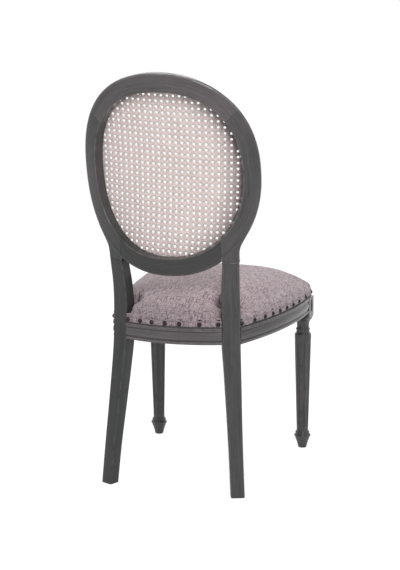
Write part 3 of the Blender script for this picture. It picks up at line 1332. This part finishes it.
NAIL_Z, NAIL_IN = RAIL_H + 9, 1.3
step_of = lambda gap, radius: math.degrees(gap / radius)
back_places = [on_arc(back_c, back_r - NAIL_IN, 90 - step_of(s, back_r)) for s in
               (-117, -72, -23, 13, 48, 81, 118)]
side_places = [on_arc(side_c, side_r - NAIL_IN, side_a1 - 1 - step_of(s, side_r)) for s in
               (-7, 42, 86, 122, 158, 196, 236, 279, 336)]
front_places = [on_arc(front_c, front_r - NAIL_IN, -90 + step_of(41 * (i + 0.5), front_r))
                for i in range(4)]
corner_places = [(BLOCK_IN + 4, BLOCK_FRONT + NAIL_IN, -90),
                 on_arc(corner_at(NAIL_IN), round_at(NAIL_IN), -45)]
halves = side_places + front_places + corner_places
nail_places = back_places + halves + [(-x, y, 180 - a) for x, y, a in halves]
nail_at = np.array([in_frame(raked((x, y, NAIL_Z))) for x, y, _ in nail_places])
nail_turn = [math.radians(a) for *_, a in nail_places]
nail_way = np.array([(math.cos(a), math.sin(a), 0) for a in nail_turn])
print(len(nail_places), "nails")

# %% Dimples and puffs
co = points_of_mesh(cushion.data)
cushion.data.update()
normals = np.array([v.normal for v in cushion.data.vertices])
level = seat_level(co)
away = np.full(len(co), 1.0)
for place in nail_at:
    away = np.minimum(away, np.hypot(co[:, 0] - place[0], co[:, 1] - place[1]))
outward = unit(normals * [1, 1, 0])
near_hem = np.exp(-((level - 49.5) / 13) ** 2) * (np.abs(normals[:, 2]) < 0.8)
puff = 0.0016 * np.clip(away / 0.02, 0, 1) ** 1.4 - 0.0012 * np.exp(-(away / 0.007) ** 2)
pull = 0.0010 * np.exp(-((level - 66) / 12) ** 2) * np.cos(np.clip(away / 0.02, 0, 1) * math.pi)
co += outward * (near_hem * puff - pull * (np.abs(normals[:, 2]) < 0.9))[:, None]
wave = np.array([noise.noise(Vector(p) * 16) * 0.6
                 + noise.noise(Vector(p) * 38 + Vector((7, 3, 1))) * 0.4 for p in co])
co += normals * (wave * 0.0011 * np.clip((level - 52) / 25, 0, 1))[:, None]
set_points(cushion.data, co)
print("deepest dimple", round(float((near_hem * puff).min()) * 1000, 2), "mm")

# %% [markdown]
# The rear posts stand in notches at the back corners. The linen is slit there, folded under
# and pushed down beside the post, which leaves a dark tuck with a few short creases that
# run away from it. The points near a post sink, and then the post's room is cut out.

# %% Tucks round the rear posts
POST_FRONT = flow(leg_back, RAIL_MID) - 32
ROOM_FRONT, ROOM_W = POST_FRONT - 2, leg_w + 0.8
co = points_of_mesh(cushion.data)
for hand in (1, -1):
    x, y = co[:, 0] / MM * hand, co[:, 1] / MM + MID_Y
    lx, ly = to_leg((x, y))
    gap_x = np.maximum(np.abs(lx - leg_c) - ROOM_W, 0)
    gap_y = np.maximum(ROOM_FRONT - ly, 0)
    gap = np.hypot(gap_x, gap_y)
    level = seat_level(co)
    along = np.arctan2(gap_y, gap_x + 1e-6) * 9 + level * 0.12
    crease = 1 + 0.35 * np.sin(along * 1.7) + 0.2 * np.sin(level * 0.31 + lx * 0.2)
    sink = (17 * np.exp(-(gap / 9) ** 1.2) + 5.5 * np.exp(-gap / 24)) * crease
    sink *= np.clip((level - 63) / 16, 0, 1) * (level < 130)
    to_middle = unit(np.stack([-co[:, 0], -0.03 - co[:, 1], np.zeros(len(co))], 1))
    co += (to_middle * 0.55 + np.array([0, 0, -0.75])) * (sink * MM)[:, None]
set_points(cushion.data, co)

print("deepest tuck", round(float(sink.max()), 1), "mm")

# %% Room for the posts and the seat frame
def post_room(hand):
    """The room that a rear post takes out of the cushion, with a gap round it."""
    made = bmesh.new()
    for x in (leg_c - ROOM_W, leg_c + ROOM_W):
        for y in (ROOM_FRONT, POST_FRONT + 120):
            for z in (330, 640):
                px, py = from_leg(x, y)
                made.verts.new(in_frame((px * hand, py, z)))
    bmesh.ops.convex_hull(made, input=made.verts)
    mesh = bpy.data.meshes.new("post_room")
    made.to_mesh(mesh)
    made.free()
    return keep("post_room", mesh, linen)


for hand in (1, -1):
    carve(cushion, post_room(hand), solver="MANIFOLD")
frame_room = skin("frame_room", [raked([(x, y, z) for x, y in seat_outline(4.9)])
                                 for z in (30, RAIL_TOP + 2.6)], linen)
carve(cushion, frame_room, solver="MANIFOLD")
print("cushion, litres", volume(cushion.data), "faces", len(cushion.data.polygons))

# %% [markdown]
# The weave of the linen follows the cloth, and not the room. On top of the seat the map is
# the plan of the seat. Down the sides each point is laid outwards by the length of cloth
# that it takes to get there, as when a tailor opens a pattern flat.

# %% The linen laid flat
co = points_of_mesh(cushion.data)
plan, level = co[:, :2], seat_level(co)
insets, heights = np.array(seat_side).T
cloth_length = np.concatenate([[0], np.cumsum(np.hypot(np.diff(insets), np.diff(heights)))])
cloth_length = cloth_length[-1] - cloth_length
taken = np.interp(level, heights, cloth_length - (insets[-1] - insets))
inner = np.array(seat_outline(45, 6)) * MM - [0, MID_Y * MM]
between = (np.roll(inner, -1, 0) - inner)[:, None] * np.linspace(0, 1, 9)[:-1, None]
inner = (inner[:, None] + between).reshape(-1, 2)
nearest = np.array([np.argmin(((inner - p) ** 2).sum(1)) for p in plan])
flat_place = plan + unit(plan - inner[nearest]) * (taken * MM)[:, None]
cloth_map = cushion.data.uv_layers.new(name="cloth")
cloth_map.data.foreach_set("uv", flat_place[corners_of(cushion.data)].ravel())
UPPER_FOLD, HEM_FOLD = 56.2, 41.5
mark(cushion.data, "fold", np.exp(-((level - UPPER_FOLD) / 1.6) ** 2)
     + np.exp(-((level - HEM_FOLD) / 1.3) ** 2))
shade(cushion.data, 50)
print("linen laid flat", np.ptp(flat_place, axis=0).round(3), "m")

# %% [markdown]
# ## Nail heads
# A nail head is a low dome with a thin rim, hammered in by hand, so each one is turned and
# tilted a little. The rule wraps a small net into one closed dome, sets it on every point of
# the list, turns it to face the way that the point says, and adds a chance tilt from a fixed
# seed.

# %% Nails as a rule
nailing = Rule("nail_heads", **{"Radius": float, "Height": float, "Tilt": float, "Seed": int})
g = nailing.given
dome, swing, row = nailing.net(21, 9)
row = row + 0.5
top_share, rim_share = row.step(0.0, 0.75), row.step(0.75, 0.875)
under_share = row.step(0.875, 1.0)
head_r = g["Radius"] * top_share ** 0.8 * (1.0 - under_share)
head_z = g["Height"] * (1.0 - top_share ** 2.2) - 0.0006 * rim_share
head_net = nailing.add("GeometryNodeSetShadeSmooth", sockets={
    0: nailing.wrapped(dome, head_r, swing, head_z)})
facing = nailing.read("facing", "FLOAT_VECTOR")
wobble = nailing.add("FunctionNodeRandomValue", {"data_type": "FLOAT_VECTOR"}, {
    0: (-1.0, -1.0, -1.0), 1: (1.0, 1.0, 1.0), "Seed": g["Seed"]})
tilted = nailing.add("ShaderNodeVectorMath", {"operation": "MULTIPLY_ADD"}, {
    0: wobble, 1: nailing.vector(g["Tilt"], g["Tilt"], g["Tilt"]), 2: facing})
aligned = nailing.add("FunctionNodeAlignRotationToVector", {"axis": "Z"}, {"Vector": tilted})
nailing.done(nailing.put(g["Geometry"], head_net, Rotation=aligned))

NAIL_SUNK = 0.0004
nail_points = dots("nail_points", nail_at - nail_way * NAIL_SUNK, facing=nail_way)
nails = grow("nail_heads_bronze", nailing, nail_points, Radius=0.0052, Height=0.0034, Tilt=0.07,
             Seed=7, Finish=bronze)

# %% [markdown]
# ## Inside and underneath
# Woven jute webbing carries the foam. Five straps run each way, each over and under the
# others. Every point of a list says where a strap lies, how long it is and which way it
# runs. The rule lays a flat ribbon on each point, and one sum over the whole net lifts it
# over one neighbour and sinks it under the next. `Solidify` then gives the cloth its body.

# %% Webbing as a rule
straps = Rule("webbing_straps", **{
    "Width": float, "Thickness": float, "Gap across": float, "Gap along": float})
g = straps.given
ribbon = straps.net(8, 130)[0]
crosswise_one = straps.read("crosswise")
laid = straps.put(g["Geometry"], ribbon,
                  Rotation=straps.vector(0.0, 0.0, crosswise_one * (math.pi / 2)),
                  Scale=straps.vector(g["Width"], straps.read("long"), 1.0))
laid = straps.add("GeometryNodeRealizeInstances", sockets={0: laid})
px, py, _ = straps.parts(straps.place())
FIRST_CROSSING = 0.01 + MID_Y * MM
checker = (((px / g["Gap across"]) * math.pi).cosine()
           * (((py + FIRST_CROSSING) / g["Gap along"]) * math.pi).cosine())
high_low = (checker * 2.4).sum("TANH") * g["Thickness"] * (0.62 - 1.24 * crosswise_one)
straps.done(straps.moved(laid, straps.vector(px, py, high_low)))

print("the webbing's rule takes", len(straps.tree.nodes), "nodes")

# %% Ten straps
def strap_run(fixed, crosswise):
    """Where a strap's middle line meets the frame's outline, 10 mm in."""
    edge = seat_outline(12, 6)[:, ::1 if crosswise else -1]
    ends = [mix(a[0], b[0], (fixed - a[1]) / (b[1] - a[1])) for a, b in zip(edge, np.roll(edge, -1, 0))
            if (a[1] - fixed) * (b[1] - fixed) <= 0 and a[1] != b[1]]
    return min(ends), max(ends)


strap_list = []
for i in (-2, -1, 0, 1, 2):
    for fixed, crosswise in ((i * 66, 0), (i * 76 - 10, 1)):
        low, high = strap_run(fixed, crosswise)
        for edge_at in (fixed - 25, fixed + 25):
            a, b = strap_run(edge_at, crosswise)
            low, high = max(low, a), min(high, b)
        if not crosswise and abs(i) == 2:
            high = from_leg(leg_c + leg_w, POST_FRONT)[1] - 6
        half_way, long = (low + high) / 2, high - low
        strap_list.append(((half_way, fixed) if crosswise else (fixed, half_way), long, crosswise))
strap_points = dots("strap_points", [(x * MM, (y - MID_Y) * MM, 0) for (x, y), *_ in strap_list],
                    long=[l * MM for _, l, _ in strap_list], crosswise=[c for *_, c in strap_list])
webbing = grow("webbing_straps", straps, strap_points, Width=0.05, Thickness=0.0012, Finish=jute_web,
               **{"Gap across": 0.066, "Gap along": 0.076})
body_of = webbing.modifiers.new("body", "SOLIDIFY")
body_of.thickness, body_of.offset = 0.0011, 0
settle(webbing)
webbing.data.transform(Matrix.Translation((0, MID_Y * MM, 0)))
co = points_of_mesh(webbing.data) / MM
set_points(webbing.data, in_frame(raked(co + [0, 0, RAIL_TOP + 1.25])))
strap_length = sum(l for _, l, _ in strap_list) * MM
print("webbing", len(webbing.data.polygons), "faces, straps together", round(strap_length, 3), "m")

# %% [markdown]
# A thin black cloth closes the frame from below. Its edge is turned in, stapled to the rails
# and cut round the legs, and the middle hangs a few millimetres low. The sheet is built as
# rings from the cut edge inwards, so that the turned hem can be thicker than the rest.

# %% Dust cover
middle = np.array([0, -20.0])


def cut_edge(inset, leg_gap, count=480):
    """Outline of the cloth seen from the middle, cut back round the four legs."""
    edge = seat_outline(inset, 6)
    ways = np.linspace(0, 2 * math.pi, count, endpoint=False)
    reach = np.arctan2(*(edge - middle).T[::-1])
    order = np.argsort(reach)
    far = np.interp(ways, reach[order], np.linalg.norm(edge - middle, axis=1)[order],
                    period=2 * math.pi)
    for hand in (1, -1):
        for k, way in enumerate(ways):
            for r in np.arange(80, far[k], 0.5):
                x, y = middle + r * np.array([math.cos(way), math.sin(way)])
                lx, ly = to_leg((x * hand, y))
                at_front = x * hand > BLOCK_IN - leg_gap and y < BLOCK_REAR + leg_gap
                at_rear = abs(lx - leg_c) < leg_w + leg_gap and ly > POST_FRONT - leg_gap
                if at_front or at_rear:
                    far[k] = r
                    break
    return middle + far[:, None] * np.stack([np.cos(ways), np.sin(ways)], 1)


edge = cut_edge(8, 1.5)
below, above = [], []
for k, thick in [(1, 1.1), (0.985, 1.25), (0.95, 1.2), (0.936, 0.75),
                 *((k, 0.6) for k in (0.9, 0.75, 0.6, 0.45, 0.3, 0.15, 0.03))]:
    sag = 4.2 * (1 - min(1, max(0, (k - 0.05) / 0.8)) ** 2)
    top = -0.1 - sag - (0 if k > 0.94 else 0.1)
    shrunk = edge * k + middle * (1 - k)
    above.append([(x, y, top) for x, y in shrunk])
    below.append([(x, y, top - thick) for x, y in shrunk])
dust_cover = skin("dust_cover_cloth", [raked(ring) for ring in above[::-1] + below], dust_cloth,
                  sharp=60)
print("dust cover", len(dust_cover.data.polygons), "faces")

# %% [markdown]
# Staples hold the webbing and the dust cover. A staple is a flat wire bridge 10 mm long. The
# rule bends a small bar, puts one on every point of a list and turns it along the edge, each
# a little off, as a hand-held stapler leaves them.

# %% Staples as a rule
stapling = Rule("staples", **{"Length": float, "Wire": float, "Sway": float, "Seed": int})
g = stapling.given
bar = stapling.add("GeometryNodeMeshCube", sockets={
    "Size": stapling.vector(1.0, 1.0, 1.0), "Vertices X": 8, "Vertices Y": 3, "Vertices Z": 2})
bx, by, bz = stapling.parts(stapling.place())
drop = ((bx * 2.0).size() ** 8.0) * g["Wire"] * -1.0
crown_bar = (1.0 - (by * 2.0) ** 2.0) * (bz + 0.5) * g["Wire"] * 0.3
bar = stapling.moved(bar, stapling.vector(
    bx * g["Length"], by * g["Wire"] * 2.0, bz * g["Wire"] + drop + crown_bar))
chance = stapling.add("FunctionNodeRandomValue", {"data_type": "FLOAT"}, {
    2: -1.0, 3: 1.0, "Seed": g["Seed"]}, out=1)
stapling.done(stapling.put(g["Geometry"], bar, Rotation=stapling.vector(
    stapling.read("tip"), 0.0, stapling.read("turn") + chance * g["Sway"])))


def staples(name, places, tip, level, seed):
    """places are x, y and the way along the edge, on the seat frame's floor plan."""
    points = dots(name, in_frame(raked([(x, y, level) for x, y, _ in places])),
                  turn=[a for *_, a in places], tip=[tip] * len(places))
    return grow(name, stapling, points, Length=0.010, Wire=0.0006, Sway=0.2, Seed=seed,
                Finish=zinc_steel)

print("the staples' rule takes", len(stapling.tree.nodes), "nodes")

# %% Where the staples go
row = cut_edge(14, 6)
along_edge = np.arctan2(*(np.roll(row, -1, 0) - np.roll(row, 1, 0)).T[::-1])
gone = np.concatenate([[0], np.cumsum(np.linalg.norm(np.diff(row, axis=0), axis=1))])
marks = [int(np.argmin(np.abs(gone - d))) for d in np.arange(12, gone[-1], 31)]
dust_staples = staples("dust_cover_staples", [(*row[k], along_edge[k]) for k in marks],
                       math.pi - RAKE, -1.3, 5)
ends = []
for (x, y), long, crosswise in strap_list:
    for end in (-1, 1):
        for side in (-16, -6, 6, 16):
            reach = end * (long / 2 - 6)
            ends.append((x + reach, y + side, math.pi / 2) if crosswise else (x + side, y + reach, 0))
strap_staples = staples("webbing_staples", ends, -RAKE, RAIL_TOP + 2.5, 9)
print("staples", len(marks), "and", len(ends))

# %% [markdown]
# Dowels pin the rails to the legs, two at each joint. They are bought in: beech rods of
# 8 mm with glue grooves and rounded ends. The CAD dowels say where each one sits and which
# way it points, so the list is read from them, and the rule sets one grooved rod on each.

# %% Dowels as a rule
doweling = Rule("dowels", **{"Radius": float, "Grooves": float, "Groove depth": float})
g = doweling.given
rod, swing, row_at = doweling.net(49, 12)
row = row_at * 2.0
groove = (swing * g["Grooves"]).cosine().most(0.0) ** 4.0 * g["Groove depth"]
end_round = (1.0 - row.size() ** 14.0).most(0.0).root()
rod_r = (g["Radius"] - groove) * end_round
aligned = doweling.add("FunctionNodeAlignRotationToVector", {"axis": "Z"}, {
    "Vector": doweling.read("facing", "FLOAT_VECTOR")})
doweling.done(doweling.put(g["Geometry"], doweling.wrapped(rod, rod_r, swing, row_at),
                           Rotation=aligned, Scale=doweling.vector(1.0, 1.0, doweling.read("long"))))

print("the dowels' rule takes", len(doweling.tree.nodes), "nodes")

# %% Dowels where the CAD has them
def rods_of(node):
    """Middle, direction and length of each separate rod of a CAD node."""
    made = bmesh.new()
    made.from_mesh(bpy.data.objects[node].data)
    bmesh.ops.remove_doubles(made, verts=made.verts, dist=1e-6)
    left, found = set(made.verts), []
    while left:
        group, edge_of = [], [left.pop()]
        while edge_of:
            one = edge_of.pop()
            group.append(one.co[:])
            near = {e.other_vert(one) for e in one.link_edges} & left
            left -= near
            edge_of += near
        group = np.array(sorted(group))
        middle = (group.max(0) + group.min(0)) / 2
        way = np.linalg.svd(group - group.mean(0), full_matrices=False)[2][0]
        way *= np.sign(way[np.abs(way).argmax()])
        found.append((middle, way, np.ptp(group @ way)))
    made.free()
    return sorted(found, key=lambda rod: tuple(rod[0].round(4)))


rods = rods_of("seat_frame_dowels")
SHORTER = 0.002
rod_points = dots("dowel_points", [m for m, *_ in rods], facing=[w for _, w, _ in rods],
                  long=[l - SHORTER for *_, l in rods])
dowels = grow("dowels_grooved", doweling, rod_points, Radius=0.004, Grooves=12.0, Finish=inner_wood,
              **{"Groove depth": 0.0004})
print(len(rods), "dowels", [round(l * 1000, 1) for *_, l in rods][:4], "mm long")

# %% [markdown]
# ## Board by board
# The crest rail and the back seat rail took the stain thinly and came out a little mauve,
# and the lower rail and one post came out darker. The number is stored on each piece.

# %% Tone of each board
boards = {crest: 0.42, back_rail: 0.5, lower: -0.4, left_rear: -0.5, right_rear: 0.05,
          left_stile: 0.0, right_stile: 0.14, left_front: 0.1, right_front: 0.05,
          side_rail: 0.1, right_rail: 0.1, front_rail: 0.2}
for piece, tone in boards.items():
    mark(piece.data, "board", [tone] * len(piece.data.vertices))
print(len(boards), "boards, from", min(boards.values()), "to", max(boards.values()))

# %% [markdown]
# ## What stays as the CAD made it
# The corner blocks and their screws inside the frame have the right shape already, so they
# stay and only get their finishes. Everything else is replaced by the pieces above.

# %% Finishes for the CAD pieces
blocks = [f"{side}_{end}_corner_block" for side in ("left", "right") for end in ("front", "rear")]
for node in [*blocks, "corner_block_screws"]:
    for place in bpy.data.objects[node].material_slots:
        place.material = inner_wood if node in blocks else zinc_steel
print(len(blocks), "corner blocks and their screws stay")

# %% [markdown]
# ## Who stands for what
# Nothing on a chair moves, so every piece rides on the one body. Each piece says which CAD
# nodes it replaces, which slot of the record its finish belongs to, and the soft ones say
# what they are.

# %% Rides, replacements and slots
standing_for = {
    crest: ("frame_wood", "crest_rail"), lower: ("frame_wood", "lower_back_rail"),
    left_stile: ("frame_wood", "left_back_stile"), right_stile: ("frame_wood", "right_back_stile"),
    left_rear: ("frame_wood", "left_rear_leg"), right_rear: ("frame_wood", "right_rear_leg"),
    left_front: ("frame_wood", "left_front_leg"), right_front: ("frame_wood", "right_front_leg"),
    back_rail: ("frame_wood", "back_seat_rail"), front_rail: ("frame_wood", "front_seat_rail"),
    side_rail: ("frame_wood", "left_seat_rail"), right_rail: ("frame_wood", "right_seat_rail"),
    cane: ("cane", "cane_panel"), spline: ("cane", "cane_spline"),
    cushion: ("linen", "seat_cover", "seat_foam"), nails: ("nail_bronze", "nail_heads"),
    webbing: ("webbing", "seat_webbing"), dust_cover: ("dust_cloth", "dust_cover"),
    dust_staples: ("screw_steel",), strap_staples: ("screw_steel",),
    dowels: ("inner_wood", "seat_frame_dowels")}
for piece, (slot, *nodes) in standing_for.items():
    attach(piece, "root")
    if nodes:
        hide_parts(*nodes)
x, y = (edge * MM).T
cut_area = abs(np.sum(x * np.roll(y, -1) - y * np.roll(x, -1))) / 2

# %% [markdown]
# ## Floor and light
# The chair stands in a white studio. The floor's colour alone would turn grey away from the
# lamps, so where the camera looks at it directly, and in mirrors, it is plain white, mixed with
# the diffuse floor that catches the shadow under the legs.

# %% Floor
def seen_directly(r):
    """One for rays from the camera, from a mirror or through glass, and nought for the rest."""
    outputs = r.add("ShaderNodeLightPath").socket.node.outputs
    camera_ray, mirror_ray, glass_ray = (
        Wire(r, outputs[k]) for k in ("Is Camera Ray", "Is Glossy Ray", "Is Transmission Ray"))
    return camera_ray.most(mirror_ray).most(glass_ray)


floor_white = bpy.data.materials.new("studio_floor")
floor_white.use_nodes = True
recipe = Recipe(floor_white.node_tree)
plain = floor_white.node_tree.nodes["Principled BSDF"]
plain.inputs["Base Color"].default_value = (0.86, 0.86, 0.86, 1)
plain.inputs["Roughness"].default_value = 0.9
plain.inputs["Specular IOR Level"].default_value = 0.1
glow = recipe.add("ShaderNodeEmission", sockets={"Color": (1, 1, 1, 1), "Strength": 1.26})
both = recipe.add("ShaderNodeMixShader", sockets={
    0: seen_directly(recipe) * 0.7, 1: Wire(recipe, plain.outputs[0]), 2: glow})
leave = floor_white.node_tree.nodes["Material Output"]
floor_white.node_tree.links.new(both.socket, leave.inputs["Surface"])
sheet = bpy.data.meshes.new("studio_floor")
sheet.from_pydata([(-6, -6, 0), (6, -6, 0), (6, 6, 0), (-6, 6, 0)], [], [(0, 1, 2, 3)])
keep("studio_floor", sheet, floor_white)
print("floor of", len(sheet.polygons), "face")

# %% [markdown]
# Four large soft lamps and an even world light the chair at a plain level, at which a colour
# comes out as it was written. The first lamp hangs above the camera's side and draws the
# bright lines along the back's moulding. The others only keep the shadows soft.

# %% World and lamps
world = bpy.data.worlds.new("studio")
world.use_nodes = True
bpy.context.scene.world = world
air = Recipe(world.node_tree)
dome_light = world.node_tree.nodes["Background"]
air_colour = air.blend(seen_directly(air), (0.48, 0.48, 0.49, 1), (1, 1, 1, 1))
world.node_tree.links.new(air_colour.socket, dome_light.inputs["Color"])
dome_light.inputs["Strength"].default_value = 1.0


def lamp(name, place, target, size, watts):
    """A round soft lamp that looks at a target."""
    light = bpy.data.lights.new(name, "AREA")
    light.shape, light.size, light.energy = "DISK", size, watts
    stand = bpy.data.objects.new(name, light)
    bpy.context.scene.collection.objects.link(stand)
    stand.location = place
    stand.rotation_euler = (Vector(target) - Vector(place)).to_track_quat("-Z", "Y").to_euler()
    print("lamp", name, watts, "W")


lamp("key_above", (-1.0, 1.55, 1.6), (0, 0.2, 0.85), 0.8, 20)
lamp("room_side", (2.6, 2.2, 1.8), (0, 0, 0.5), 1.8, 3)
lamp("overhead", (0.1, -0.1, 2.8), (0, 0, 0.4), 1.4, 34)
lamp("front_fill", (0.4, -3.2, 1.6), (0, 0, 0.5), 2.0, 16)

# %% [markdown]
# ## The last measure
# The box of what is seen is measured and written down beside the CAD's box. The two agree
# within a millimetre, or else a piece has left its place.
